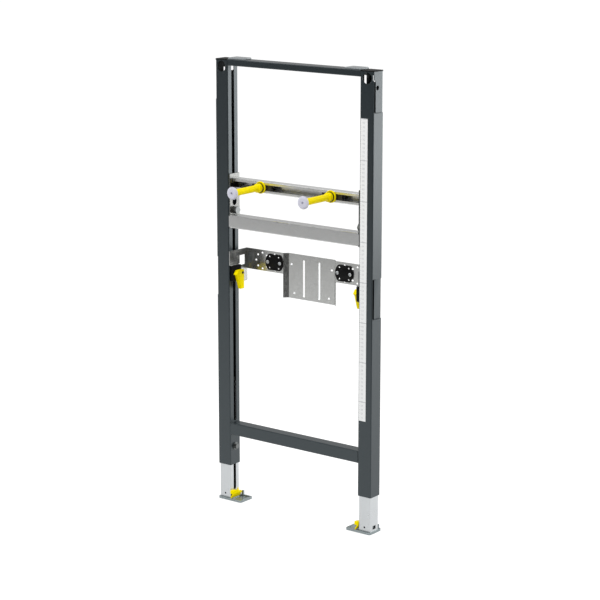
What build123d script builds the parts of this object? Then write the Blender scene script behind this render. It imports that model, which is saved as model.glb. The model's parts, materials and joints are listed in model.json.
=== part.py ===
"""Washbasin installation frame: welded steel frame on two telescopic feet, with a height-adjustable
fixing rail for the basin studs and a height-adjustable pipe plate held by lever clamps.
Millimetres, +Z up, floor at Z = 0, front of the frame towards -Y."""
import os

from build123d import *

os.makedirs("parts", exist_ok=True)

# Overall sizes
WIDTH = 490.0
HEIGHT = 1156.0
STUD_REACH = 103.0
PLATE_BACK = 81.0
FRONT = (STUD_REACH - PLATE_BACK) / 2

# Posts
POST = 40.0
POST_WALL = 2.0
POST_R = 2.5
POST_Z0 = 96.0
CAP_T = 2.5
POST_Z1 = HEIGHT - CAP_T
X_OUT = WIDTH / 2
X_IN = X_OUT - POST
X_MID = X_OUT - POST / 2
Y_MID = FRONT + POST / 2
SLOT_W = 11.0
SLOT_Z0 = 214.0
SLOT_Z1 = HEIGHT - 7.0
WALL_HOLE_D = 27.0
WALL_HOLE_Z = HEIGHT - 18.5
SIDE_HOLE_D = 11.5
SIDE_HOLE_Z = HEIGHT - 42.0
PRESS_DEPTH = 3.0
PRESS_SLIT = 6.0
PRESS_LEN = 100.0
PRESS_ZONES = ((HEIGHT - 102.0, PRESS_LEN - 2.0), (HEIGHT - 607.0, PRESS_LEN))
NOTCH_Z = HEIGHT - 17.0
NOTCH_H = 14.0

# Cross members
TOP_H = 16.0
TOP_D = 39.0
LOW_Z0 = 180.0
LOW_H = 32.0
LOW_D = 30.0
BAR_WALL = 2.0
CONNECT_L = 48.0
CONNECT_D = 34.0
CONNECT_H = 4.5

# Measuring strip on the right post
STRIP_W = 20.5
STRIP_T = 0.3
STRIP_Z0 = HEIGHT - 865.0
STRIP_Z1 = HEIGHT - 115.0

# Feet
FOOT = 35.0
FOOT_WALL = 2.0
FOOT_TOP = 330.0
FOOT_SLOT_W = 10.0
FOOT_SLOT_Z0 = 26.0
FOOT_SLOT_Z1 = FOOT_TOP - 8.0
PLATE_L = 75.0
PLATE_D = 49.0
PLATE_T = 6.0
PLATE_FRONT = FRONT - 2.0
RIM = 4.0
RECESS = 2.5
RECESS_L = PLATE_L - FOOT - 2 * RIM - 3.0
ANCHOR_D = 10.0
ANCHOR_IN = 14.0
ANCHOR_Y = FRONT + 30.0
CLAMP_BOLT_Z = 145.0
BOLT_D = 8.0
NUT_PLATE_T = 6.0
NUT_PLATE = 18.0
CLAMP_WASHER_D = 20.0
CLAMP_AF = 13.0
CLAMP_HEAD = 5.5
SIDE_OPEN_W = 13.0
SIDE_OPEN_H = 9.0
FRONT_HOLE_D = 5.0
FRONT_HOLE_Z = 16.0
UPRIGHT_H = 12.0
UPRIGHT_W = 18.0
UPRIGHT_T = 3.0
UPRIGHT_IN = 11.0
LUG = 5.0
LUG_IN = 6.0
LOCK_W = 11.0
LOCK_H = 21.0
LOCK_HEAD = 9.0
LOCK_BLADE = 3.5
LOCK_L = 36.0
LOCK_SCREW_D = 4.0

# Fixing rail carriage
BRACKET_T = 3.0
BRACKET_Z0 = HEIGHT - 430.0
BRACKET_Z1 = HEIGHT - 290.0
BRACKET_W = 38.0
GUIDE_Z = HEIGHT - 320.0
GUIDE_H = 14.0
GUIDE_W = 32.0
RAIL_Z0 = HEIGHT - 331.0
RAIL_H = 29.0
RAIL_D = 26.0
RAIL_FRONT = FRONT + POST - RAIL_D
RAIL_T = 2.0
RAIL_GAP = 15.0
RAIL_CZ = RAIL_Z0 + RAIL_H / 2
LOWER_Z0 = HEIGHT - 428.0
LOWER_H = 33.0
LOWER_D = 30.0
RAIL_BOLT_Z = HEIGHT - 384.0
KEY_Z = HEIGHT - 364.0
KEY_D = 16.0
RAIL_WASHER_D = 20.0
RAIL_BOLT_AF = 17.0
RAIL_BOLT_HEAD = 9.0
SLIDE_PLATE_W = 22.0
SLIDE_PLATE_H = 26.0
FIT = 0.2

# Studs
STUD_X = 110.0
STUD_D = 10.0
SLEEVE_D = 17.0
SLEEVE_WALL = 1.2
COLLAR_D = 22.5
COLLAR_L = 11.0
CAP_D = 32.0
CAP_FACE_D = 20.0
STUD_CAP_T = 6.5
DIMPLE_D = 6.0
NUT_AF = 17.0
WASHER_D = 25.0
WASHER_T = 2.0
NUT_H = 8.0
RING_D = 31.0
RING_T = 4.5
SLIDER_L = 62.0
SLIDER_D = 7.0

# Pipe plate carriage
SHEET = 2.0
WING_Y = FRONT + 69.0
MID_Y = FRONT + PLATE_BACK - SHEET
PIPE_Z1 = HEIGHT - 490.0
WING_H = 54.0
MID_H = 116.0
MID_HALF = 72.5
WING_IN = 83.0
FLANGE_H = 37.0
LIP_W = 7.0
TAB_H = 86.0
TAB_W = 23.0
WINDOW_Y = FRONT + 51.0
WINDOW_W = 22.0
WINDOW_H = 26.0
WINDOW_DROP = 29.0
RING_PCD = 41.0
RING_HOLE = 5.5
TAP_X = 111.0
TAP_PITCH = 39.5
TAP_Z = HEIGHT - 518.0
TAP_D = 54.0
TAP_FLAT = 41.0
TAP_T = 4.0
CLIP_SLOT_X = 24.5
CLIP_SLOT_W = 6.0
CLIP_SLOT_Z0 = PIPE_Z1 - MID_H + 6.0
CLIP_SLOT_Z1 = PIPE_Z1 - 13.0
CLIP_HOLE_D = 6.0
CLIP_HOLES = ((64.0, PIPE_Z1 - 28.0), (55.0, PIPE_Z1 - MID_H + 14.0))

# Lever clamps
CLAMP_T = 10.0
CLAMP_Z0 = HEIGHT - 568.0
CLAMP_Z1 = HEIGHT - 527.5
CLAMP_FRONT = FRONT + 4.0
CLAMP_BACK = FRONT + 38.0
CLAMP_FOOT = 19.0
CLAMP_NECK = 18.0
CLAMP_CORNER = 3.0
PIN_D = 6.0
PIN_END = 1.5
PIN_Y = FRONT + 30.0
PIN_Z = HEIGHT - 547.0
LEVER_T = 10.0
LEVER_L = 42.0
LEVER_NOSE = 26.0
LEVER_HEAD = 8.0
LEVER_BACK = 5.0
LEVER_TIP = 13.0
RUN_FIT = 0.05
GAP = 0.5


def save(part, name):
    part.label = name
    export_step(part, "parts/" + name + ".step")


def side_name(s):
    return "left" if s < 0 else "right"


# Posts: square tubes with a long slot inside, wall-fixing holes and pressed-in outer zones.
# The right post is the left one turned half a turn about its own axis.
def make_post(s):
    with BuildPart() as post:
        with BuildSketch(Plane.XY.offset(POST_Z0)):
            RectangleRounded(POST, POST, POST_R)
            Rectangle(POST - 2 * POST_WALL, POST - 2 * POST_WALL, mode=Mode.SUBTRACT)
        extrude(amount=POST_Z1 - POST_Z0)
        # the outer wall is pressed in over two zones, from the slit to the far corner
        for z0, length in PRESS_ZONES:
            with BuildSketch(Plane.XY.offset(z0)):
                with Locations((-POST / 2, -POST / 2)):
                    Rectangle(PRESS_DEPTH + POST_WALL, POST - POST_WALL, align=(Align.MIN, Align.MIN))
            extrude(amount=length, mode=Mode.SUBTRACT)
            with BuildSketch(Plane.XY.offset(z0)):
                with Locations((-POST / 2 + PRESS_DEPTH, -POST / 2)):
                    Rectangle(POST_WALL, POST - PRESS_SLIT, align=(Align.MIN, Align.MIN))
            extrude(amount=length)
        with BuildSketch(Plane.XY.offset(NOTCH_Z - NOTCH_H / 2)):
            with Locations((-POST / 2, POST / 2)):
                Rectangle(2 * PRESS_DEPTH, 2 * PRESS_SLIT)
        extrude(amount=NOTCH_H, mode=Mode.SUBTRACT)
        # long slot in the inner face
        with BuildSketch(Plane.YZ.offset(POST / 2)):
            with Locations((0, (SLOT_Z0 + SLOT_Z1) / 2)):
                SlotOverall(SLOT_Z1 - SLOT_Z0, SLOT_W, rotation=90)
        extrude(amount=-2 * POST_WALL, mode=Mode.SUBTRACT)
        # wall-fixing hole, front to back
        with BuildSketch(Plane.XZ.offset(-POST / 2)):
            with Locations((0, WALL_HOLE_Z)):
                Circle(WALL_HOLE_D / 2)
        extrude(amount=POST, mode=Mode.SUBTRACT)
        # side hole in the outer face
        with BuildSketch(Plane.YZ.offset(-POST / 2)):
            with Locations((0, SIDE_HOLE_Z)):
                Circle(SIDE_HOLE_D / 2)
        extrude(amount=POST / 2, mode=Mode.SUBTRACT)
        # hole for the foot clamp bolt
        with BuildSketch(Plane.YZ.offset(POST / 2)):
            with Locations((0, CLAMP_BOLT_Z)):
                Circle(BOLT_D / 2 + RUN_FIT)
        extrude(amount=-2 * POST_WALL, mode=Mode.SUBTRACT)
    turn = 0 if s < 0 else 180
    return Pos(s * X_MID, Y_MID, 0) * Rot(0, 0, turn) * post.part


def make_cap(s):
    with BuildPart() as cap:
        with BuildSketch(Plane.XY.offset(POST_Z1)):
            with Locations((s * X_MID, Y_MID)):
                RectangleRounded(POST, POST, POST_R)
        extrude(amount=CAP_T)
    return cap.part


for s in (-1, 1):
    save(make_post(s), side_name(s) + "_post")
    save(make_cap(s), side_name(s) + "_post_cap")

# Top cross member: channel open downwards, flush with the post fronts
with BuildPart() as top_bar:
    with BuildSketch(Plane.YZ.offset(-X_IN)):
        with Locations((FRONT + TOP_D / 2, HEIGHT - TOP_H / 2)):
            RectangleRounded(TOP_D, TOP_H, 2.0)
        with Locations((FRONT + TOP_D / 2, HEIGHT - TOP_H / 2 - BAR_WALL)):
            Rectangle(TOP_D - 2 * BAR_WALL, TOP_H, mode=Mode.SUBTRACT)
    extrude(amount=2 * X_IN)
save(top_bar.part, "top_cross_member")

# Bottom cross member: closed tube
with BuildPart() as low_bar:
    with BuildSketch(Plane.YZ.offset(-X_IN)):
        with Locations((FRONT + LOW_D / 2, LOW_Z0 + LOW_H / 2)):
            RectangleRounded(LOW_D, LOW_H, 2.5)
            Rectangle(LOW_D - 2 * BAR_WALL, LOW_H - 2 * BAR_WALL, mode=Mode.SUBTRACT)
    extrude(amount=2 * X_IN)
save(low_bar.part, "bottom_cross_member")


# Connector saddles on the ends of the top cross member
def make_connector(s):
    with BuildPart() as saddle:
        with BuildSketch(Plane.XY.offset(HEIGHT)):
            with Locations((s * (X_IN - CONNECT_L / 2), FRONT + TOP_D / 2)):
                Rectangle(CONNECT_L, CONNECT_D)
        extrude(amount=CONNECT_H)
        chamfer(saddle.faces().sort_by(Axis.Z)[-1].edges(), CONNECT_H / 3)
    return saddle.part


for s in (-1, 1):
    save(make_connector(s), side_name(s) + "_connector")

# Measuring strip on the front of the right post
with BuildPart() as strip:
    with Locations((X_IN + POST_R + STRIP_W / 2, FRONT - STRIP_T / 2, (STRIP_Z0 + STRIP_Z1) / 2)):
        Box(STRIP_W, STRIP_T, STRIP_Z1 - STRIP_Z0)
save(strip.part, "measuring_strip")


# Foot tubes: slotted towards the middle of the frame, with a cross hole near the bottom
def make_foot_tube(s):
    with BuildPart() as tube:
        with BuildSketch(Plane.XY.offset(PLATE_T)):
            with Locations((s * X_MID, Y_MID)):
                RectangleRounded(FOOT, FOOT, 2.0)
                Rectangle(FOOT - 2 * FOOT_WALL, FOOT - 2 * FOOT_WALL, mode=Mode.SUBTRACT)
        extrude(amount=FOOT_TOP - PLATE_T)
        with BuildSketch(Plane.YZ.offset(s * (X_MID - FOOT / 2))):
            with Locations((Y_MID, (FOOT_SLOT_Z0 + FOOT_SLOT_Z1) / 2)):
                SlotOverall(FOOT_SLOT_Z1 - FOOT_SLOT_Z0, FOOT_SLOT_W, rotation=90)
        extrude(amount=s * 2 * FOOT_WALL, mode=Mode.SUBTRACT)
        with BuildSketch(Plane.XZ.offset(-FRONT)):
            with Locations((s * X_MID, FRONT_HOLE_Z)):
                Circle(FRONT_HOLE_D / 2)
        extrude(amount=-POST, mode=Mode.SUBTRACT)
        with BuildSketch(Plane.YZ.offset(s * (X_MID + FOOT / 2))):
            with Locations((Y_MID, PLATE_T + SIDE_OPEN_H)):
                Rectangle(SIDE_OPEN_W, SIDE_OPEN_H)
        extrude(amount=-s * 2 * FOOT_WALL, mode=Mode.SUBTRACT)
    return tube.part


# Foot plates: a rimmed plate reaching inwards from the tube, with an anchor hole
def make_foot_plate(s):
    x_mid = s * (X_OUT - PLATE_L / 2)
    with BuildPart() as plate:
        with BuildSketch(Plane.XY):
            with Locations((x_mid, PLATE_FRONT + PLATE_D / 2)):
                RectangleRounded(PLATE_L, PLATE_D, 4.0)
        extrude(amount=PLATE_T)
        with BuildSketch(Plane.XY.offset(PLATE_T)):
            with Locations((s * (X_OUT - PLATE_L + RIM + RECESS_L / 2), PLATE_FRONT + PLATE_D / 2)):
                Rectangle(RECESS_L, PLATE_D - 2 * RIM)
        extrude(amount=-RECESS, mode=Mode.SUBTRACT)
        with BuildSketch(Plane.XY):
            with Locations((s * (X_OUT - PLATE_L + ANCHOR_IN), ANCHOR_Y)):
                Circle(ANCHOR_D / 2)
        extrude(amount=PLATE_T, mode=Mode.SUBTRACT)
        # upright tab behind the tube, lug behind the lock and stop inside the tube
        with BuildSketch(Plane.XY.offset(PLATE_T)):
            with Locations((s * (X_OUT - UPRIGHT_IN), Y_MID + FOOT / 2 + GAP + UPRIGHT_T / 2)):
                Rectangle(UPRIGHT_W, UPRIGHT_T)
            with Locations((s * (X_IN - LUG_IN), PLATE_FRONT + PLATE_D - RIM)):
                Rectangle(LUG, LUG)
            with Locations((s * (X_MID + FOOT / 2 - FOOT_WALL - UPRIGHT_T), Y_MID)):
                Rectangle(UPRIGHT_T / 2, UPRIGHT_W - 2 * GAP)
        extrude(amount=UPRIGHT_H)
    return plate.part


# Foot locks: one moulding on both feet, a head over a slanting blade, lower towards the back, with a set screw
def make_foot_lock(s):
    near = s * (X_MID - FOOT / 2 - GAP)
    far = near - s * LOCK_W
    left, right = min(near, far), max(near, far)
    z_top = PLATE_T + LOCK_H
    with BuildPart() as lock:
        with BuildSketch(Plane.XZ.offset(-FRONT)):
            with BuildLine():
                Polyline((left, z_top - LOCK_HEAD), (left, z_top), (right, z_top), (right, z_top - LOCK_HEAD),
                         (left + LOCK_BLADE, PLATE_T), (left, PLATE_T), (right - LOCK_BLADE, z_top - LOCK_HEAD),
                         close=True)
            make_face()
        extrude(amount=-LOCK_L)
        with BuildSketch(Plane.YZ.offset(left - 1)):
            with BuildLine():
                Polyline((FRONT + LOCK_HEAD, z_top), (FRONT + LOCK_L + 1, z_top),
                         (FRONT + LOCK_L + 1, z_top - LOCK_HEAD + 2), close=True)
            make_face()
        extrude(amount=LOCK_W + 2, mode=Mode.SUBTRACT)
        with BuildSketch(Plane.XY.offset(z_top - LOCK_HEAD)):
            with Locations(((left + right) / 2, FRONT + 0.7 * LOCK_L)):
                Circle(LOCK_SCREW_D / 2)
        extrude(amount=LOCK_HEAD + 2.0)
    return lock.part


# Foot clamp bolts: hexagon bolt, washer and clamping nut inside the foot tube
def make_clamp_bolt(s):
    x_face = X_IN
    with BuildPart() as bolt:
        with BuildSketch(Plane.YZ.offset(s * x_face)):
            with Locations((Y_MID, CLAMP_BOLT_Z)):
                Circle(CLAMP_WASHER_D / 2)
        extrude(amount=-s * WASHER_T)
        with BuildSketch(Plane.YZ.offset(s * (x_face - WASHER_T))):
            with Locations((Y_MID, CLAMP_BOLT_Z)):
                RegularPolygon(CLAMP_AF / 2, 6, major_radius=False)
        extrude(amount=-s * CLAMP_HEAD)
        with BuildSketch(Plane.YZ.offset(s * x_face)):
            with Locations((Y_MID, CLAMP_BOLT_Z)):
                Circle(BOLT_D / 2)
        extrude(amount=s * (X_MID - FOOT / 2 + FOOT_WALL + 2 * GAP - x_face))
        with BuildSketch(Plane.YZ.offset(s * (X_MID - FOOT / 2 + FOOT_WALL + GAP))):
            with Locations((Y_MID, CLAMP_BOLT_Z)):
                Rectangle(NUT_PLATE, NUT_PLATE)
        extrude(amount=s * NUT_PLATE_T)
    return bolt.part


for s in (-1, 1):
    save(make_foot_tube(s), side_name(s) + "_foot_tube")
    save(make_foot_plate(s), side_name(s) + "_foot_plate")
    save(make_foot_lock(s), side_name(s) + "_foot_lock")
    save(make_clamp_bolt(s), side_name(s) + "_foot_clamp_bolt")


# Rail brackets: plates on the inner faces of the posts
def make_rail_bracket(s):
    x0 = X_IN - GAP
    with BuildPart() as plate:
        with BuildSketch(Plane.YZ.offset(s * x0)):
            with Locations((FRONT + RAIL_T + BRACKET_W / 2, (BRACKET_Z0 + BRACKET_Z1) / 2)):
                Rectangle(BRACKET_W, BRACKET_Z1 - BRACKET_Z0)
            with Locations((Y_MID, GUIDE_Z)):
                Rectangle(GUIDE_W, GUIDE_H, mode=Mode.SUBTRACT)
            with Locations((Y_MID, KEY_Z)):
                Circle(KEY_D / 2, mode=Mode.SUBTRACT)
            with Locations((Y_MID, KEY_Z + KEY_D / 4)):
                Rectangle(KEY_D, KEY_D / 2, mode=Mode.SUBTRACT)
            with Locations((Y_MID, RAIL_BOLT_Z)):
                Circle(BOLT_D / 2, mode=Mode.SUBTRACT)
        extrude(amount=-s * BRACKET_T)
    return plate.part


# Rail guides: black plastic pieces that fill the window of each bracket, with a pin in the post slot
def make_rail_guide(s):
    x0 = X_IN - GAP
    with BuildPart() as guide:
        with BuildSketch(Plane.YZ.offset(s * x0)):
            with Locations((Y_MID, GUIDE_Z)):
                Rectangle(GUIDE_W - 2 * FIT, GUIDE_H - 2 * FIT)
        extrude(amount=-s * BRACKET_T)
        with BuildSketch(Plane.YZ.offset(s * x0)):
            with Locations((Y_MID, GUIDE_Z)):
                Rectangle(SLOT_W - 2 * GAP, GUIDE_H - 4 * GAP)
        extrude(amount=s * (POST_WALL + GAP))
    return guide.part


# Bracket bolts: head, shank through the post slot and a clamping plate inside the post
def make_rail_bolt(s):
    x_face = X_IN - GAP - BRACKET_T
    with BuildPart() as bolt:
        with BuildSketch(Plane.YZ.offset(s * x_face)):
            with Locations((Y_MID, RAIL_BOLT_Z)):
                Circle(RAIL_WASHER_D / 2)
        extrude(amount=-s * WASHER_T)
        with BuildSketch(Plane.YZ.offset(s * (x_face - WASHER_T))):
            with Locations((Y_MID, RAIL_BOLT_Z)):
                RegularPolygon(RAIL_BOLT_AF / 2, 6, major_radius=False)
        extrude(amount=-s * RAIL_BOLT_HEAD)
        with BuildSketch(Plane.YZ.offset(s * x_face)):
            with Locations((Y_MID, RAIL_BOLT_Z)):
                Circle(BOLT_D / 2)
        extrude(amount=s * (X_IN + POST_WALL + 2 * GAP - x_face))
        with BuildSketch(Plane.YZ.offset(s * (X_IN + POST_WALL + GAP))):
            with Locations((Y_MID, RAIL_BOLT_Z)):
                Rectangle(SLIDE_PLATE_W, SLIDE_PLATE_H)
        extrude(amount=s * NUT_PLATE_T)
    return bolt.part


for s in (-1, 1):
    save(make_rail_bracket(s), side_name(s) + "_rail_bracket")
    save(make_rail_guide(s), side_name(s) + "_rail_guide")
    save(make_rail_bolt(s), side_name(s) + "_rail_bolt")

RAIL_X = X_IN - GAP - BRACKET_T

# Fixing rail: lipped channel open to the front, for the stud sliders
with BuildPart() as rail:
    with BuildSketch(Plane.YZ.offset(-RAIL_X)):
        with Locations((RAIL_FRONT + RAIL_D / 2, RAIL_CZ)):
            RectangleRounded(RAIL_D, RAIL_H, 2.0)
            Rectangle(RAIL_D - 2 * RAIL_T, RAIL_H - 2 * RAIL_T, mode=Mode.SUBTRACT)
        with Locations((RAIL_FRONT + RAIL_T / 2, RAIL_CZ)):
            Rectangle(2 * RAIL_T, RAIL_GAP, mode=Mode.SUBTRACT)
    extrude(amount=2 * RAIL_X)
save(rail.part, "fixing_rail")

# Lower rail: plain channel with its web to the front
with BuildPart() as lower:
    with BuildSketch(Plane.YZ.offset(-RAIL_X)):
        with Locations((FRONT + LOWER_D / 2, LOWER_Z0 + LOWER_H / 2)):
            RectangleRounded(LOWER_D, LOWER_H, 2.0)
        with Locations((FRONT + LOWER_D / 2 + RAIL_T, LOWER_Z0 + LOWER_H / 2)):
            Rectangle(LOWER_D, LOWER_H - 2 * RAIL_T, mode=Mode.SUBTRACT)
    extrude(amount=2 * RAIL_X)
    # its web runs on over the front edges of the brackets
    with BuildSketch(Plane.XZ.offset(-FRONT)):
        with Locations((0, LOWER_Z0 + LOWER_H / 2)):
            Rectangle(2 * (RAIL_X + BRACKET_T), LOWER_H - 2 * POST_R)
    extrude(amount=-RAIL_T)
save(lower.part, "lower_rail")


# Stud group: slider in the rail, yellow ring, nut with washer, threaded rod, sleeve over the nut and white cap
def make_slider(s):
    with BuildPart() as slider:
        with Locations((s * STUD_X, RAIL_FRONT + RAIL_T + GAP + SLIDER_D / 2, RAIL_CZ)):
            Box(SLIDER_L, SLIDER_D, RAIL_H - 2 * RAIL_T - 2 * GAP)
        with BuildSketch(Plane.XZ.offset(-RAIL_FRONT)):
            with Locations((s * STUD_X, RAIL_CZ)):
                Circle(STUD_D / 2)
        extrude(amount=-RAIL_D, mode=Mode.SUBTRACT)
    return slider.part


def make_ring(s):
    with BuildPart() as ring:
        with BuildSketch(Plane.XZ.offset(-(RAIL_FRONT - GAP))):
            with Locations((s * STUD_X, RAIL_CZ)):
                Circle(RING_D / 2)
        extrude(amount=RING_T)
        with BuildSketch(Plane.XZ.offset(-RAIL_FRONT)):
            with Locations((s * STUD_X, RAIL_CZ)):
                Circle(STUD_D / 2)
        extrude(amount=2 * RING_T, mode=Mode.SUBTRACT)
    return ring.part


def make_nut(s):
    y_ring = RAIL_FRONT - GAP - RING_T
    with BuildPart() as nut:
        with BuildSketch(Plane.XZ.offset(-y_ring)):
            with Locations((s * STUD_X, RAIL_CZ)):
                Circle(WASHER_D / 2)
                Circle(STUD_D / 2, mode=Mode.SUBTRACT)
        extrude(amount=WASHER_T)
        with BuildSketch(Plane.XZ.offset(-(y_ring - WASHER_T))):
            with Locations((s * STUD_X, RAIL_CZ)):
                RegularPolygon(NUT_AF / 2, 6, major_radius=False)
                Circle(STUD_D / 2, mode=Mode.SUBTRACT)
        extrude(amount=NUT_H)
    return nut.part


def make_stud(s):
    y_back = RAIL_FRONT + RAIL_D - RAIL_T - GAP
    with BuildPart() as stud:
        with BuildSketch(Plane.XZ.offset(-y_back)):
            with Locations((s * STUD_X, RAIL_CZ)):
                Circle(STUD_D / 2)
        extrude(amount=y_back - FRONT + STUD_REACH - STUD_CAP_T - 2 * GAP)
    return stud.part


def make_sleeve(s):
    y_root = RAIL_FRONT - GAP - RING_T - WASHER_T
    y_step = y_root - NUT_H - FIT
    y_tip = FRONT - STUD_REACH + STUD_CAP_T
    x_s = s * STUD_X
    bore = STUD_D / 2 + FIT
    nut_bore = COLLAR_D / 2 - SLEEVE_WALL
    with BuildPart() as sleeve:
        with BuildSketch(Plane.XY.offset(RAIL_CZ)):
            with BuildLine():
                Polyline((x_s + nut_bore, y_root), (x_s + COLLAR_D / 2, y_root),
                         (x_s + COLLAR_D / 2, y_root - COLLAR_L), (x_s + SLEEVE_D / 2, y_root - COLLAR_L),
                         (x_s + SLEEVE_D / 2, y_tip), (x_s + bore, y_tip), (x_s + bore, y_step),
                         (x_s + nut_bore, y_step), close=True)
            make_face()
        revolve(axis=Axis((x_s, 0, RAIL_CZ), (0, 1, 0)))
    return sleeve.part


def make_stud_cap(s):
    y_face = FRONT - STUD_REACH
    x_s = s * STUD_X
    with BuildPart() as cap:
        with BuildSketch(Plane.XY.offset(RAIL_CZ)):
            with BuildLine():
                Polyline((x_s, y_face + STUD_CAP_T / 2), (x_s + DIMPLE_D / 2, y_face + STUD_CAP_T / 2),
                         (x_s + DIMPLE_D / 2, y_face), (x_s + CAP_FACE_D / 2, y_face),
                         (x_s + CAP_D / 2, y_face + STUD_CAP_T / 2),
                         (x_s + CAP_D / 2, y_face + STUD_CAP_T), (x_s, y_face + STUD_CAP_T), close=True)
            make_face()
        revolve(axis=Axis((x_s, 0, RAIL_CZ), (0, 1, 0)))
    return cap.part


for s in (-1, 1):
    save(make_slider(s), side_name(s) + "_stud_slider")
    save(make_ring(s), side_name(s) + "_stud_ring")
    save(make_nut(s), side_name(s) + "_stud_nut")
    save(make_stud(s), side_name(s) + "_stud")
    save(make_sleeve(s), side_name(s) + "_stud_sleeve")
    save(make_stud_cap(s), side_name(s) + "_stud_cap")

# Pipe plate: one bent sheet with side flanges, wings and a set-back middle
X_F = X_IN - GAP
BEND = SHEET * 0.35

with BuildPart() as pipe_plate:
    with BuildSketch(Plane.XY.offset(PIPE_Z1 - MID_H)):
        with BuildLine():
            Polyline((-X_F + SHEET, FRONT), (-X_F + SHEET, WING_Y), (-WING_IN, WING_Y), (-MID_HALF, MID_Y),
                     (MID_HALF, MID_Y), (WING_IN, WING_Y), (X_F - SHEET, WING_Y), (X_F - SHEET, FRONT),
                     (X_F, FRONT), (X_F, WING_Y + SHEET), (WING_IN + BEND, WING_Y + SHEET),
                     (MID_HALF + BEND, MID_Y + SHEET), (-MID_HALF - BEND, MID_Y + SHEET),
                     (-WING_IN - BEND, WING_Y + SHEET), (-X_F, WING_Y + SHEET), (-X_F, FRONT), close=True)
        make_face()
    extrude(amount=MID_H)
    for s in (-1, 1):
        # the wings are lower than the middle
        with BuildSketch(Plane.XZ.offset(-(FRONT + 60))):
            with BuildLine():
                Polyline((s * (WING_IN + BEND), PIPE_Z1 - MID_H - 1), (s * (WING_IN + BEND), PIPE_Z1 - WING_H),
                         (s * (X_F - SHEET), PIPE_Z1 - WING_H), (s * (X_F - SHEET), PIPE_Z1 - MID_H - 1), close=True)
            make_face()
        extrude(amount=-(PLATE_BACK - 60 + 5), mode=Mode.SUBTRACT)
        # the flange steps down to the wing and to a tab at the back
        with BuildSketch(Plane.YZ.offset(s * (X_F + 1))):
            with BuildLine():
                Polyline((FRONT - 1, PIPE_Z1 - MID_H - 1), (FRONT - 1, PIPE_Z1 - FLANGE_H),
                         (FRONT + POST, PIPE_Z1 - FLANGE_H), (FRONT + POST + 3, PIPE_Z1 - WING_H),
                         (WING_Y + SHEET - TAB_W, PIPE_Z1 - WING_H), (WING_Y + SHEET - TAB_W, PIPE_Z1 - TAB_H),
                         (WING_Y + SHEET + 1, PIPE_Z1 - TAB_H), (WING_Y + SHEET + 1, PIPE_Z1 - MID_H - 1),
                         close=True)
            make_face()
        extrude(amount=-s * (SHEET + 2), mode=Mode.SUBTRACT)
        # stiffening lip under the front of the flange
        with Locations((s * (X_F - LIP_W / 2), FRONT + 1 + POST * 0.35, PIPE_Z1 - FLANGE_H + SHEET / 2)):
            Box(LIP_W, POST * 0.7, SHEET)
        # flange window and screw hole
        with Locations((s * X_F, WINDOW_Y, PIPE_Z1 - WINDOW_DROP)):
            Box(4 * SHEET, WINDOW_W, WINDOW_H, mode=Mode.SUBTRACT)
        with BuildSketch(Plane.YZ.offset(s * X_F)):
            with Locations((Y_MID, PIPE_Z1 - FLANGE_H + 10)):
                Circle(2.5)
        extrude(amount=-s * 2 * SHEET, mode=Mode.SUBTRACT)
        # ring patterns on the wings
        with BuildSketch(Plane.XZ.offset(-(WING_Y + 2 * SHEET))):
            for x in (TAP_X, TAP_X + TAP_PITCH):
                with Locations((s * x, TAP_Z)):
                    with PolarLocations(RING_PCD / 2, 8):
                        Circle(RING_HOLE / 2)
        extrude(amount=4 * SHEET, mode=Mode.SUBTRACT)
        # long slots and pipe-clip holes in the middle
        with BuildSketch(Plane.XZ.offset(-(MID_Y + 2 * SHEET))):
            with Locations((s * CLIP_SLOT_X, (CLIP_SLOT_Z0 + CLIP_SLOT_Z1) / 2)):
                SlotOverall(CLIP_SLOT_Z1 - CLIP_SLOT_Z0, CLIP_SLOT_W, rotation=90)
            for x, z in CLIP_HOLES:
                with Locations((s * x, z)):
                    Circle(CLIP_HOLE_D / 2)
        extrude(amount=4 * SHEET, mode=Mode.SUBTRACT)
save(pipe_plate.part, "pipe_plate")


# Tap fixing plates: black discs with flat top and bottom, four corner holes and two screws
def make_tap_fixing(s):
    with BuildPart() as disc:
        with BuildSketch(Plane.XZ.offset(-WING_Y)):
            with Locations((s * TAP_X, TAP_Z)):
                Circle(TAP_D / 2)
                Rectangle(TAP_D, TAP_FLAT, mode=Mode.INTERSECT)
        extrude(amount=TAP_T)
        with BuildSketch(Plane.XZ.offset(-(WING_Y + 1))):
            with Locations((s * TAP_X, TAP_Z)):
                with PolarLocations(RING_PCD / 2, 4, start_angle=45):
                    Circle(RING_HOLE / 2)
        extrude(amount=2 * TAP_T, mode=Mode.SUBTRACT)
    return disc.part


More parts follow.
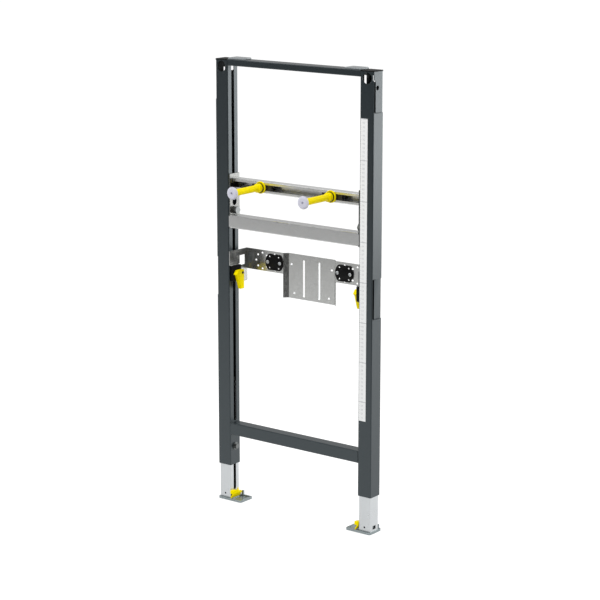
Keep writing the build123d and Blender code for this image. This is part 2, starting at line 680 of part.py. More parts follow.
# Lever clamps: black body with a pin, T-bolt through the post slot
def make_clamp_body(s):
    x0 = X_IN - GAP
    with BuildPart() as body:
        with BuildSketch(Plane.YZ.offset(s * x0)):
            with BuildLine():
                Polyline((CLAMP_FRONT, CLAMP_Z0 + CLAMP_CORNER), (CLAMP_FRONT, CLAMP_Z1 - CLAMP_CORNER),
                         (CLAMP_FRONT + CLAMP_CORNER, CLAMP_Z1), (CLAMP_BACK - CLAMP_CORNER, CLAMP_Z1),
                         (CLAMP_BACK, CLAMP_Z1 - CLAMP_NECK), (CLAMP_FRONT + CLAMP_CORNER + CLAMP_FOOT, CLAMP_Z0),
                         (CLAMP_FRONT + CLAMP_CORNER, CLAMP_Z0), close=True)
            make_face()
        extrude(amount=-s * CLAMP_T)
        with BuildSketch(Plane.YZ.offset(s * (x0 - CLAMP_T))):
            with Locations((PIN_Y, PIN_Z)):
                Circle(PIN_D / 2)
        extrude(amount=-s * (LEVER_T + PIN_END))
        with BuildSketch(Plane.YZ.offset(s * x0)):
            with Locations((Y_MID, (CLAMP_Z0 + CLAMP_Z1) / 2)):
                Circle(BOLT_D / 2)
        extrude(amount=s * (X_IN + POST_WALL + 2 * GAP - x0))
        with BuildSketch(Plane.YZ.offset(s * (X_IN + POST_WALL + GAP))):
            with Locations((Y_MID, (CLAMP_Z0 + CLAMP_Z1) / 2)):
                Rectangle(SLIDE_PLATE_W, NUT_PLATE)
        extrude(amount=s * NUT_PLATE_T)
    return body.part


# Clamp levers: yellow, cam head at the pin and a tapering handle hanging down
def make_lever(s):
    x0 = X_IN - GAP - CLAMP_T - GAP
    with BuildPart() as lever:
        with BuildSketch(Plane.YZ.offset(s * x0)):
            with BuildLine():
                Polyline((PIN_Y + LEVER_BACK, PIN_Z + LEVER_HEAD), (PIN_Y - LEVER_NOSE + LEVER_HEAD, PIN_Z + LEVER_HEAD),
                         (PIN_Y - LEVER_NOSE, PIN_Z - PIN_D / 3), (PIN_Y - LEVER_NOSE + PIN_D, PIN_Z - PIN_D),
                         (PIN_Y + LEVER_BACK - LEVER_TIP, PIN_Z - LEVER_L), (PIN_Y + LEVER_BACK, PIN_Z - LEVER_L),
                         close=True)
            make_face()
            with Locations((PIN_Y, PIN_Z)):
                Circle(PIN_D / 2 + RUN_FIT, mode=Mode.SUBTRACT)
        extrude(amount=-s * LEVER_T)
    return lever.part


for s in (-1, 1):
    save(make_tap_fixing(s), side_name(s) + "_tap_fixing")
    save(make_clamp_body(s), side_name(s) + "_clamp_body")
    save(make_lever(s), side_name(s) + "_clamp_lever")
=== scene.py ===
import json
import math

import bpy
from bpy.props import FloatProperty, FloatVectorProperty, IntProperty, PointerProperty
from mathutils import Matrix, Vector


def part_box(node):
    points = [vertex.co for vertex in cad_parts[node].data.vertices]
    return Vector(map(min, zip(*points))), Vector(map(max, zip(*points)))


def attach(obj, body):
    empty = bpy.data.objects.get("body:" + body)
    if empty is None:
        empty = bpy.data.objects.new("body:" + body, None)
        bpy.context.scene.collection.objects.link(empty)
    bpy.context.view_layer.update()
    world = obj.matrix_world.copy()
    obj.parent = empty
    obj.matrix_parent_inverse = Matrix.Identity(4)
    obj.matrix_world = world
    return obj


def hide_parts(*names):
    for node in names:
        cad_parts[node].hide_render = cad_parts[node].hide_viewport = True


bl_info = {
    "name": "Washbasin installation frame",
    "version": (1, 0, 0),
    "blender": (4, 5, 0),
    "location": "View3D > Sidebar > Basin Frame",
    "description": "Finishes, printed scale and small fittings for a washbasin installation frame",
    "category": "Object",
}

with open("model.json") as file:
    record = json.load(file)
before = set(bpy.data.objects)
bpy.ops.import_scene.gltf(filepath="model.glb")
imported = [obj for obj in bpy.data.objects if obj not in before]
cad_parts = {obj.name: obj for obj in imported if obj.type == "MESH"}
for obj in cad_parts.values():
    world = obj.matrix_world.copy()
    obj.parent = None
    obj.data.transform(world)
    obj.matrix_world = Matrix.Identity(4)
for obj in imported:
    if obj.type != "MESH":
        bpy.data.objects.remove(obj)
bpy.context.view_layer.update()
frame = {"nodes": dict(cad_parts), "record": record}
SIDES = ("left", "right")


# Settings: the colours, sizes and lights that a user may change.


class FrameFinishes(bpy.types.PropertyGroup):
    post_coat: FloatVectorProperty(
        name="Post coat", description="Anthracite powder coat of the posts and cross members",
        subtype="COLOR", default=(0.006, 0.011, 0.014))
    galvanised: FloatVectorProperty(
        name="Galvanised sheet", description="Sheet of the pipe plate",
        subtype="COLOR", default=(0.43, 0.435, 0.425))
    # painted light: a lighter copy of the galvanised sheet for the fixing rail
    rail_zinc: FloatVectorProperty(
        name="Rail zinc", description="Brighter sheet of the lipped fixing rail",
        subtype="COLOR", default=(0.74, 0.745, 0.735))
    # painted light: a lighter copy of the galvanised sheet for the lower rail
    channel_zinc: FloatVectorProperty(
        name="Channel zinc", description="Sheet of the plain lower rail",
        subtype="COLOR", default=(0.55, 0.555, 0.55))
    # painted shade: a darker copy of the galvanised sheet for the rail brackets
    bracket_zinc: FloatVectorProperty(
        name="Bracket zinc", description="Sheet of the rail brackets",
        subtype="COLOR", default=(0.15, 0.153, 0.148))
    bolt_zinc: FloatVectorProperty(
        name="Bolt zinc", description="Bolts of the brackets and feet",
        subtype="COLOR", default=(0.16, 0.17, 0.17))
    zinc: FloatVectorProperty(
        name="Zinc plating", description="Foot tubes, basin studs and tap plate screws",
        subtype="COLOR", default=(0.54, 0.56, 0.57))
    foot_zinc: FloatVectorProperty(
        name="Foot plate", description="Grey zinc of the foot plates",
        subtype="COLOR", default=(0.26, 0.30, 0.31))
    saddle: FloatVectorProperty(
        name="Connector", description="Light grey of the connector saddles",
        subtype="COLOR", default=(0.22, 0.24, 0.25))
    yellow: FloatVectorProperty(
        name="Yellow plastic", description="Sleeves, rings, levers and foot locks",
        subtype="COLOR", default=(0.98, 0.80, 0.0))
    black: FloatVectorProperty(
        name="Black plastic", description="Post caps, tap plates, clamp bodies and rail guides",
        subtype="COLOR", default=(0.003, 0.003, 0.0033))
    white: FloatVectorProperty(
        name="White plastic", description="Stud caps",
        subtype="COLOR", default=(0.60, 0.60, 0.69))
    dark_steel: FloatVectorProperty(
        name="Dark steel", description="Sliders and nuts of the basin studs",
        subtype="COLOR", default=(0.035, 0.032, 0.028))
    label: FloatVectorProperty(
        name="Scale label", description="Ground of the printed scale",
        subtype="COLOR", default=(0.86, 0.87, 0.865))
    print_grey: FloatVectorProperty(
        name="Scale print", description="Lines and numbers of the scale",
        subtype="COLOR", default=(0.58, 0.59, 0.60))


class ScaleSizes(bpy.types.PropertyGroup):
    zero: FloatProperty(
        name="Zero height", description="Height of the zero of the scale above the floor",
        unit="LENGTH", default=0.0398)
    fine_pitch: FloatProperty(
        name="Fine pitch", description="Distance between numbered marks",
        unit="LENGTH", default=0.010)
    heavy_pitch: FloatProperty(
        name="Heavy pitch", description="Distance between full-width lines",
        unit="LENGTH", default=0.100)
    digit_height: FloatProperty(
        name="Digit height", description="Height of the printed numbers",
        unit="LENGTH", default=0.0052)
    film: FloatProperty(
        name="Ink film", description="How far the print stands on the label",
        unit="LENGTH", default=0.00008)


class FittingSizes(bpy.types.PropertyGroup):
    screw_head: FloatProperty(
        name="Screw head", description="Diameter of the tap plate screws",
        unit="LENGTH", default=0.0095)
    screw_head_height: FloatProperty(
        name="Screw head height", description="Height of the tap plate screw heads",
        unit="LENGTH", default=0.0026)
    soft_edge: FloatProperty(
        name="Soft edge", description="Edge rounding of the moulded pieces",
        unit="LENGTH", default=0.0009)
    weld: FloatProperty(
        name="Weld bead", description="Radius of the weld beads on the cross members",
        unit="LENGTH", default=0.0016)
    slit_from: FloatProperty(
        name="Slit start", description="Distance of the post slits from the post corner",
        unit="LENGTH", default=0.0020)
    slit_to: FloatProperty(
        name="Slit end", description="Distance of the far side of the post slits from the corner",
        unit="LENGTH", default=0.0126)
    upper_slit: FloatProperty(
        name="Upper slit", description="Distance of the upper slit below the tube's end",
        unit="LENGTH", default=0.021)
    upper_length: FloatProperty(
        name="Upper slit length", description="Length of the upper slit",
        unit="LENGTH", default=0.077)
    lower_slit: FloatProperty(
        name="Lower slit", description="Distance of the lower slit below the tube's end",
        unit="LENGTH", default=0.503)
    lower_length: FloatProperty(
        name="Lower slit length", description="Length of the lower slit",
        unit="LENGTH", default=0.100)
    turned_sides: IntProperty(
        name="Turned sides", description="Sides round each turned piece",
        default=64, min=24, max=128)


class StudioSettings(bpy.types.PropertyGroup):
    floor_half: FloatProperty(
        name="Floor half width", description="Half the width of the studio floor",
        unit="LENGTH", default=40.0)
    floor_glow: FloatProperty(
        name="Floor glow", description="Glow that keeps the floor white to the camera",
        default=0.62)
    world_strength: FloatProperty(
        name="World strength", description="Strength of the even studio light",
        default=0.85)
    card_foot: FloatProperty(
        name="Card foot", description="How light the front card is at its foot",
        default=0.46)
    card_shade: FloatProperty(
        name="Card shade", description="How light the darker cards are at their top",
        default=0.05)
    back_shade: FloatProperty(
        name="Back card shade", description="How light the card behind on the left is",
        default=0.6)
    right_panel: FloatProperty(
        name="Right panel", description="Brightness of the panel on the right",
        default=1.5)
    back_panel: FloatProperty(
        name="Back panel", description="Brightness of the panel behind on the right",
        default=3.6)
    left_panel: FloatProperty(
        name="Left panel", description="Brightness of the panel on the left",
        default=1.5)
    top_panel: FloatProperty(
        name="Top panel", description="Brightness of the panel above the front",
        default=2.4)
    lens: FloatProperty(
        name="Lens", description="Focal length on a 36 mm wide sensor, in millimetres",
        default=120.24)


# Helpers: how pieces are copied, turned, softened and dressed.

NEW_MERGE = 0.000005  # points of a new piece that are closer than this become one
CAD_MERGE = 0.00002  # the same for the loose triangles of a CAD node's copy
ONE_PLANE = 1.0  # degrees between faces that still count as one flat face
SMOOTH = 35.0  # degrees between faces that are shaded as one surface
BEVEL_STEPS = 2
SAME_RADIUS = 1e-7


def deselect():
    """Leaves edit mode and deselects every object."""
    if bpy.context.mode != "OBJECT":
        bpy.ops.object.mode_set(mode="OBJECT")
    for other in bpy.context.selected_objects:
        other.select_set(False)


def make_active(piece):
    """Selects one object alone."""
    deselect()
    piece.select_set(True)
    bpy.context.view_layer.objects.active = piece


def edit_all():
    """Opens the active mesh with all of it selected."""
    bpy.ops.object.mode_set(mode="EDIT")
    bpy.ops.mesh.select_all(action="SELECT")


def apply_place():
    """Puts the selected object's place, turn and size into its mesh."""
    bpy.ops.object.transform_apply(location=True, rotation=True, scale=True)


def settle(piece, angle=SMOOTH):
    """Puts a finished piece's place into its mesh and shades it smooth by angle."""
    make_active(piece)
    apply_place()
    edit_all()
    bpy.ops.mesh.remove_doubles(threshold=NEW_MERGE)
    bpy.ops.mesh.normals_make_consistent(inside=False)
    bpy.ops.object.mode_set(mode="OBJECT")
    bpy.ops.object.shade_smooth_by_angle(angle=math.radians(angle))
    return piece


def apply_bevel(piece, width, angle=30.0):
    """Rounds the edges that are sharper than an angle in degrees."""
    make_active(piece)
    bevel = piece.modifiers.new("edge", "BEVEL")
    bevel.width = width
    bevel.segments = BEVEL_STEPS
    bevel.limit_method = "ANGLE"
    bevel.angle_limit = math.radians(angle)
    bpy.ops.object.modifier_apply(modifier=bevel.name)


def even_normals(piece):
    """Lets the large faces set the shading next to small rounded ones."""
    make_active(piece)
    weigh = piece.modifiers.new("normals", "WEIGHTED_NORMAL")
    weigh.keep_sharp = True
    bpy.ops.object.modifier_apply(modifier=weigh.name)
    return piece


def dress(piece, body, slot, *nodes):
    """Gives a piece its finish and the body it rides on, and hides the CAD nodes it stands for."""
    piece.data.materials.clear()
    piece.data.materials.append(finish(slot))
    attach(piece, body)
    if nodes:
        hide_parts(*nodes)
    return piece


def body_of_node(node):
    """The name of the body that holds a CAD node."""
    for name, nodes in frame["record"]["behaviour"]["bodies"].items():
        if node in nodes:
            return name
    raise RuntimeError("no body holds " + node)


def turned(name, middle, steps, sides):
    """Turns a profile about an axis along Y: steps are (radius, y) from front to back."""
    deselect()
    radius, y = steps[0]
    bpy.ops.mesh.primitive_circle_add(
        vertices=sides, radius=radius, fill_type="NGON", location=(middle.x, y, middle.z),
        rotation=(math.radians(90), 0, 0))
    piece = bpy.context.active_object
    piece.name = name
    edit_all()
    for next_radius, next_y in steps[1:]:
        bpy.ops.mesh.extrude_region_move(TRANSFORM_OT_translate={"value": (0, next_y - y, 0)})
        if abs(next_radius - radius) > SAME_RADIUS:
            k = next_radius / radius
            bpy.ops.transform.resize(
                value=(k, 1, k), center_override=(middle.x, next_y, middle.z))
        radius, y = next_radius, next_y
    bpy.ops.object.mode_set(mode="OBJECT")
    return piece


def copied(node, name):
    """A copy of a CAD node with its points merged."""
    make_active(frame["nodes"][node])
    bpy.ops.object.duplicate(linked=False)
    piece = bpy.context.active_object
    piece.name = name
    make_active(piece)
    edit_all()
    bpy.ops.mesh.remove_doubles(threshold=CAD_MERGE)
    bpy.ops.object.mode_set(mode="OBJECT")
    return piece


def softened(node, name, width):
    """A copy of a CAD node with rounded edges, to stand for the node."""
    piece = copied(node, name)
    edit_all()
    bpy.ops.mesh.dissolve_limited(angle_limit=math.radians(ONE_PLANE))
    bpy.ops.object.mode_set(mode="OBJECT")
    apply_bevel(piece, width)
    return settle(piece)


# Shader groups: each is built once and placed in the finishes with their own values.

SURFACE_OUTPUTS = (
    ("Colour", "NodeSocketColor"), ("Roughness", "NodeSocketFloat"), ("Height", "NodeSocketFloat"))


def new_group(name, inputs, outputs=SURFACE_OUTPUTS):
    """A shader group with its inputs and outputs, and the two nodes that stand for them."""
    group = bpy.data.node_groups.new(name, "ShaderNodeTree")
    for label, kind, default in inputs:
        socket = group.interface.new_socket(name=label, in_out="INPUT", socket_type=kind)
        if default is not None:
            socket.default_value = default
    for label, kind in outputs:
        group.interface.new_socket(name=label, in_out="OUTPUT", socket_type=kind)
    return group, group.nodes.new("NodeGroupInput"), group.nodes.new("NodeGroupOutput")


def close_group(group, made, colour, roughness, height):
    """Links the three results of a surface group."""
    group.links.new(colour, made.inputs["Colour"])
    group.links.new(roughness, made.inputs["Roughness"])
    group.links.new(height, made.inputs["Height"])
    return group


def feed(tree, socket, value):
    """Links another node's output to a socket, or sets the socket to a number."""
    if hasattr(value, "is_output"):
        tree.links.new(value, socket)
    else:
        socket.default_value = value


def math_node(tree, operation, *values):
    node = tree.nodes.new("ShaderNodeMath")
    node.operation = operation
    for socket, value in zip(node.inputs, values):
        feed(tree, socket, value)
    return node.outputs[0]


def noise_node(tree, place, scale, detail=2.0):
    node = tree.nodes.new("ShaderNodeTexNoise")
    node.inputs["Detail"].default_value = detail
    feed(tree, node.inputs["Scale"], scale)
    tree.links.new(place, node.inputs["Vector"])
    return node.outputs["Fac"]


def range_node(tree, value, low, high):
    """Spreads a mask between two values."""
    node = tree.nodes.new("ShaderNodeMapRange")
    feed(tree, node.inputs["To Min"], low)
    feed(tree, node.inputs["To Max"], high)
    tree.links.new(value, node.inputs["Value"])
    return node.outputs["Result"]


def swing_node(tree, mask, amount):
    """How far a mask is from its middle, times an amount."""
    return math_node(tree, "MULTIPLY", math_node(tree, "SUBTRACT", mask, 0.5), amount)


def shade_node(tree, colour, factor):
    """Multiplies a colour by a grey factor."""
    node = tree.nodes.new("ShaderNodeVectorMath")
    node.operation = "SCALE"
    tree.links.new(colour, node.inputs[0])
    tree.links.new(factor, node.inputs["Scale"])
    return node.outputs["Vector"]


def tint_node(tree, colour, *swings):
    """Makes a colour lighter and darker by the sum of some swings."""
    total = swings[0]
    for swing in swings[1:]:
        total = math_node(tree, "ADD", total, swing)
    return shade_node(tree, colour, math_node(tree, "ADD", total, 1.0))


def powder_group():
    """Powder coat: a fine orange peel under a broad, faint mottle."""
    group, given, made = new_group("Powder coat", (
        ("Vector", "NodeSocketVector", None), ("Colour", "NodeSocketColor", (0.05, 0.05, 0.05, 1)),
        ("Peel scale", "NodeSocketFloat", 650.0), ("Mottle", "NodeSocketFloat", 0.06)))
    place = given.outputs["Vector"]
    peel = noise_node(group, place, given.outputs["Peel scale"], detail=3.0)
    broad = noise_node(group, place, scale=9.0, detail=4.0)
    colour = tint_node(
        group, given.outputs["Colour"], swing_node(group, broad, given.outputs["Mottle"]),
        swing_node(group, peel, amount=0.18))
    sheen = range_node(group, peel, low=0.30, high=0.40)
    return close_group(group, made, colour, sheen, peel)


def hollow_group():
    """Says which parts of an upright tube lie inside it, on both sides of the frame, or above its
    end, and puts out the rest, where no painted shade goes.
    """
    group, given, made = new_group("Hollow tube", (
        ("Vector", "NodeSocketVector", None), ("Across", "NodeSocketFloat", 0.0),
        ("Deep", "NodeSocketFloat", 0.0), ("Inner reach", "NodeSocketFloat", 0.01),
        ("Outer reach", "NodeSocketFloat", 0.01), ("Deep reach", "NodeSocketFloat", 0.01),
        ("End", "NodeSocketFloat", 9.0), ("Shade", "NodeSocketFloat", 0.97)),
        (("Shown", "NodeSocketFloat"),))
    parts = group.nodes.new("ShaderNodeSeparateXYZ")
    group.links.new(given.outputs["Vector"], parts.inputs["Vector"])
    across = math_node(
        group, "SUBTRACT", math_node(group, "ABSOLUTE", parts.outputs["X"]),
        given.outputs["Across"])
    deep = math_node(group, "SUBTRACT", parts.outputs["Y"], given.outputs["Deep"])
    near = math_node(group, "MULTIPLY", given.outputs["Inner reach"], -1.0)
    inside = math_node(
        group, "MULTIPLY", math_node(group, "GREATER_THAN", across, near),
        math_node(group, "LESS_THAN", across, given.outputs["Outer reach"]))
    inside = math_node(
        group, "MULTIPLY", inside,
        math_node(
            group, "LESS_THAN", math_node(group, "ABSOLUTE", deep), given.outputs["Deep reach"]))
    shaded_end = math_node(group, "GREATER_THAN", parts.outputs["Z"], given.outputs["End"])
    # painted shade: the inside and the upper end are darkened by the Shade share
    painted_shade = math_node(
        group, "MULTIPLY", math_node(group, "MAXIMUM", inside, shaded_end), given.outputs["Shade"])
    group.links.new(math_node(group, "SUBTRACT", 1.0, painted_shade), made.inputs["Shown"])
    return group


def spangle_group():
    """Galvanised sheet: crystals of slightly different tone and sheen under a fine grain."""
    group, given, made = new_group("Zinc spangle", (
        ("Vector", "NodeSocketVector", None), ("Colour", "NodeSocketColor", (0.5, 0.5, 0.5, 1)),
        ("Spangle scale", "NodeSocketFloat", 180.0), ("Contrast", "NodeSocketFloat", 0.16)))
    place = given.outputs["Vector"]
    warp = noise_node(group, place, scale=60.0)
    bent = group.nodes.new("ShaderNodeMixRGB")
    bent.blend_type = "LINEAR_LIGHT"
    bent.inputs["Fac"].default_value = 0.012
    group.links.new(place, bent.inputs["Color1"])
    group.links.new(warp.node.outputs["Color"], bent.inputs["Color2"])
    cells = group.nodes.new("ShaderNodeTexVoronoi")
    group.links.new(bent.outputs["Color"], cells.inputs["Vector"])
    group.links.new(given.outputs["Spangle scale"], cells.inputs["Scale"])
    tone = group.nodes.new("ShaderNodeSeparateColor")
    group.links.new(cells.outputs["Color"], tone.inputs["Color"])
    grain = noise_node(group, place, scale=900.0)
    colour = tint_node(
        group, given.outputs["Colour"],
        swing_node(group, tone.outputs["Red"], given.outputs["Contrast"]),
        swing_node(group, grain, amount=0.05))
    sheen = range_node(group, tone.outputs["Green"], low=0.20, high=0.27)
    return close_group(group, made, colour, sheen, grain)


def drawn_group():
    """Drawn steel: fine streaks along the height and a soft haze."""
    group, given, made = new_group("Drawn steel", (
        ("Vector", "NodeSocketVector", None), ("Colour", "NodeSocketColor", (0.6, 0.6, 0.6, 1)),
        ("Streak", "NodeSocketFloat", 0.12)))
    place = given.outputs["Vector"]
    stretch = group.nodes.new("ShaderNodeMapping")
    stretch.inputs["Scale"].default_value = (1.0, 1.0, 0.02)
    group.links.new(place, stretch.inputs["Vector"])
    streaks = noise_node(group, stretch.outputs["Vector"], scale=700.0, detail=3.0)
    haze = noise_node(group, place, scale=25.0, detail=3.0)
    colour = tint_node(
        group, given.outputs["Colour"], swing_node(group, streaks, given.outputs["Streak"]),
        swing_node(group, haze, amount=0.10))
    sheen = range_node(group, haze, low=0.24, high=0.34)
    return close_group(group, made, colour, sheen, streaks)


def moulded_group():
    """Moulded plastic: a very fine grain and a sheen that changes a little."""
    group, given, made = new_group("Moulded plastic", (
        ("Vector", "NodeSocketVector", None), ("Colour", "NodeSocketColor", (0.5, 0.5, 0.5, 1)),
        ("Grain scale", "NodeSocketFloat", 1400.0), ("Sheen low", "NodeSocketFloat", 0.34),
        ("Sheen high", "NodeSocketFloat", 0.46)))
    place = given.outputs["Vector"]
    grain = noise_node(group, place, given.outputs["Grain scale"])
    haze = noise_node(group, place, scale=40.0)
    colour = tint_node(group, given.outputs["Colour"], swing_node(group, haze, amount=0.08))
    sheen = range_node(group, haze, given.outputs["Sheen low"], given.outputs["Sheen high"])
    return close_group(group, made, colour, sheen, grain)


HALF_MARK_SHARE = 0.55  # length of the marks between two fine marks, over a fine mark's
LABEL_HAZE = 0.06


def printed_group():
    """Scale print: short marks at the strip's left edge and heavy lines right across it."""
    group, given, made = new_group("Printed scale", (
        ("Vector", "NodeSocketVector", None), ("Ground", "NodeSocketColor", (0.8, 0.8, 0.8, 1)),
        ("Ink", "NodeSocketColor", (0.2, 0.2, 0.2, 1)), ("Zero", "NodeSocketFloat", 0.04),
        ("Fine pitch", "NodeSocketFloat", 0.01), ("Heavy pitch", "NodeSocketFloat", 0.1),
        ("Edge", "NodeSocketFloat", 0.2), ("Mark length", "NodeSocketFloat", 0.004)))
    parts = group.nodes.new("ShaderNodeSeparateXYZ")
    group.links.new(given.outputs["Vector"], parts.inputs["Vector"])
    height = math_node(group, "SUBTRACT", parts.outputs["Z"], given.outputs["Zero"])

    def lines(pitch, half_width):
        """A mask of level lines, one at each step of the pitch."""
        phase = math_node(
            group, "WRAP", height, math_node(group, "MULTIPLY", pitch, 0.5),
            math_node(group, "MULTIPLY", pitch, -0.5))
        return math_node(group, "LESS_THAN", math_node(group, "ABSOLUTE", phase), half_width)

    fine_pitch, length = given.outputs["Fine pitch"], given.outputs["Mark length"]
    marks = lines(fine_pitch, half_width=0.00035)
    half_marks = lines(math_node(group, "MULTIPLY", fine_pitch, 0.5), half_width=0.0002)
    heavy = lines(given.outputs["Heavy pitch"], half_width=0.0010)
    from_edge = math_node(group, "SUBTRACT", parts.outputs["X"], given.outputs["Edge"])
    long_zone = math_node(group, "LESS_THAN", from_edge, length)
    short_zone = math_node(
        group, "LESS_THAN", from_edge, math_node(group, "MULTIPLY", length, HALF_MARK_SHARE))
    ink = math_node(
        group, "MAXIMUM", math_node(group, "MULTIPLY", marks, long_zone),
        math_node(group, "MULTIPLY", half_marks, short_zone))
    ink = math_node(group, "MAXIMUM", ink, heavy)
    haze = noise_node(group, given.outputs["Vector"], scale=50.0, detail=3.0)
    haze = math_node(group, "MULTIPLY", haze, LABEL_HAZE)
    lightness = math_node(group, "SUBTRACT", 1 + LABEL_HAZE / 2, haze)
    ground = shade_node(group, given.outputs["Ground"], lightness)
    mix = group.nodes.new("ShaderNodeMixRGB")
    group.links.new(ink, mix.inputs["Fac"])
    group.links.new(ground, mix.inputs["Color1"])
    group.links.new(given.outputs["Ink"], mix.inputs["Color2"])
    sheen = range_node(group, ink, low=0.42, high=0.50)
    return close_group(group, made, mix.outputs["Color"], sheen, ink)


GROUP_MAKERS = {
    "hollow": hollow_group,
    "powder": powder_group,
    "spangle": spangle_group,
    "drawn": drawn_group,
    "moulded": moulded_group,
    "printed": printed_group,
}
groups = {}


def group_node(tree, kind, values):
    """Places a shader group in a material, on Object coordinates, with its own values."""
    if kind not in groups:
        groups[kind] = GROUP_MAKERS[kind]()
    node = tree.nodes.new("ShaderNodeGroup")
    node.node_tree = groups[kind]
    place = tree.nodes.new("ShaderNodeTexCoord")
    tree.links.new(place.outputs["Object"], node.inputs["Vector"])
    for label, value in values.items():
        node.inputs[label].default_value = value
    return node


# Finishes: the materials of the frame.

# slot: shader group, colour setting, values of the group, values of the shader, bump depth
FINISH_TABLE = {
    "powder_coat": (
        "powder", "post_coat", {"Peel scale": 650.0, "Mottle": 0.10},
        {"Metallic": 0.0, "Specular IOR Level": 0.75, "Specular Tint": (0.86, 0.96, 1.0, 1.0)},
        0.00004),
    "saddle_grey": (
        "powder", "saddle", {"Peel scale": 800.0, "Mottle": 0.08},
        {"Metallic": 0.25, "Coat Weight": 0.3, "Coat Roughness": 0.35}, 0.00003),
    "galvanised": (
        "spangle", "galvanised", {"Spangle scale": 170.0, "Contrast": 0.05},
        {"Metallic": 0.9}, 0.00001),
    # painted light: lighter copies of the galvanised sheet for the fixing rail and the lower rail
    "rail_zinc": (
        "spangle", "rail_zinc", {"Spangle scale": 170.0, "Contrast": 0.05},
        {"Metallic": 0.9}, 0.00001),
    "channel_zinc": (
        "spangle", "channel_zinc", {"Spangle scale": 260.0, "Contrast": 0.05},
        {"Metallic": 0.9}, 0.00001),
    # painted shade: a darker copy of the galvanised sheet for the rail brackets
    "bracket_zinc": (
        "spangle", "bracket_zinc", {"Spangle scale": 260.0, "Contrast": 0.16},
        {"Metallic": 0.9}, 0.00003),
    "foot_grey": (
        "spangle", "foot_zinc", {"Spangle scale": 260.0, "Contrast": 0.20},
        {"Metallic": 0.5}, 0.00003),
    "bolt_zinc": ("drawn", "bolt_zinc", {"Streak": 0.10}, {"Metallic": 0.9}, 0.00001),
    "bright_steel": ("drawn", "zinc", {"Streak": 0.10}, {"Metallic": 0.8}, 0.00001),
    "tube_zinc": ("drawn", "zinc", {"Streak": 0.10}, {"Metallic": 0.8}, 0.00001),
    "dark_steel": ("drawn", "dark_steel", {"Streak": 0.20}, {"Metallic": 0.5}, 0.00001),
    "yellow_plastic": (
        "moulded", "yellow", {"Sheen low": 0.30, "Sheen high": 0.40},
        {"Metallic": 0.0, "Specular IOR Level": 0.05, "Specular Tint": (1.0, 0.75, 0.05, 1.0)},
        0.00002),
    "black_plastic": (
        "moulded", "black", {"Sheen low": 0.45, "Sheen high": 0.60},
        {"Metallic": 0.0, "Specular IOR Level": 0.12}, 0.00004),
    "white_plastic": (
        "moulded", "white", {"Sheen low": 0.35, "Sheen high": 0.48}, {"Metallic": 0.0}, 0.00002),
    "scale_label": ("printed", "label", {}, {"Metallic": 0.0}, 0.00001),
    "scale_ink": (
        "moulded", "print_grey", {"Sheen low": 0.45, "Sheen high": 0.55}, {"Metallic": 0.0},
        0.00001),
}

# CAD nodes with their own finish: the rails get lighter copies of the sheet as painted light, the
# brackets a darker copy as painted shade, the bolts a duller zinc, and the foot tubes painted
# shade inside
OWN_FINISH = {"fixing_rail": "rail_zinc", "lower_rail": "channel_zinc"}
OWN_FINISH.update({
    side + stem: slot
    for side in SIDES
    for stem, slot in (
        ("_rail_bracket", "bracket_zinc"), ("_rail_bolt", "bolt_zinc"),
        ("_foot_clamp_bolt", "bolt_zinc"), ("_foot_tube", "tube_zinc"))
})

# Tubes with painted shade inside: the CAD node that shows their size, how far in from its outer
# side the painted shade starts (the posts are pressed in there), and the length of the upper end
# with painted shade, which is below zero for a tube that has none.
WALL_GAP = 0.0012
PAINTED_TUBE_SHADES = {
    "powder_coat": ("right_post", 0.0045, -1.0),
    "tube_zinc": ("right_foot_tube", WALL_GAP, 0.0095),
}
BUMP_STRENGTH = 0.6
MARK_SHARE = 0.2  # length of a fine mark of the scale, as a share of the strip's width
finishes = {}


def surface_values(kind, colour):
    """The values of a surface group that come from the settings and from the frame."""
    if kind != "printed":
        return {"Colour": colour}
    scale = bpy.context.scene.basin_scale
    low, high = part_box("measuring_strip")
    return {
        "Ground": colour, "Ink": tuple(bpy.context.scene.basin_finishes.print_grey) + (1.0,),
        "Zero": scale.zero, "Fine pitch": scale.fine_pitch, "Heavy pitch": scale.heavy_pitch,
        "Edge": low.x, "Mark length": (high.x - low.x) * MARK_SHARE}


def hollow_values(slot):
    """Where the inside and the upper end of a finish's tubes lie, which get painted shade."""
    node, outer_gap, shaded_end_length = PAINTED_TUBE_SHADES[slot]
    low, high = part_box(node)
    half_width, half_depth = (high.x - low.x) / 2, (high.y - low.y) / 2
    return {
        "Across": (low.x + high.x) / 2, "Deep": (low.y + high.y) / 2,
        "Inner reach": half_width - WALL_GAP, "Outer reach": half_width - outer_gap,
        "Deep reach": half_depth - WALL_GAP, "End": high.z - shaded_end_length}


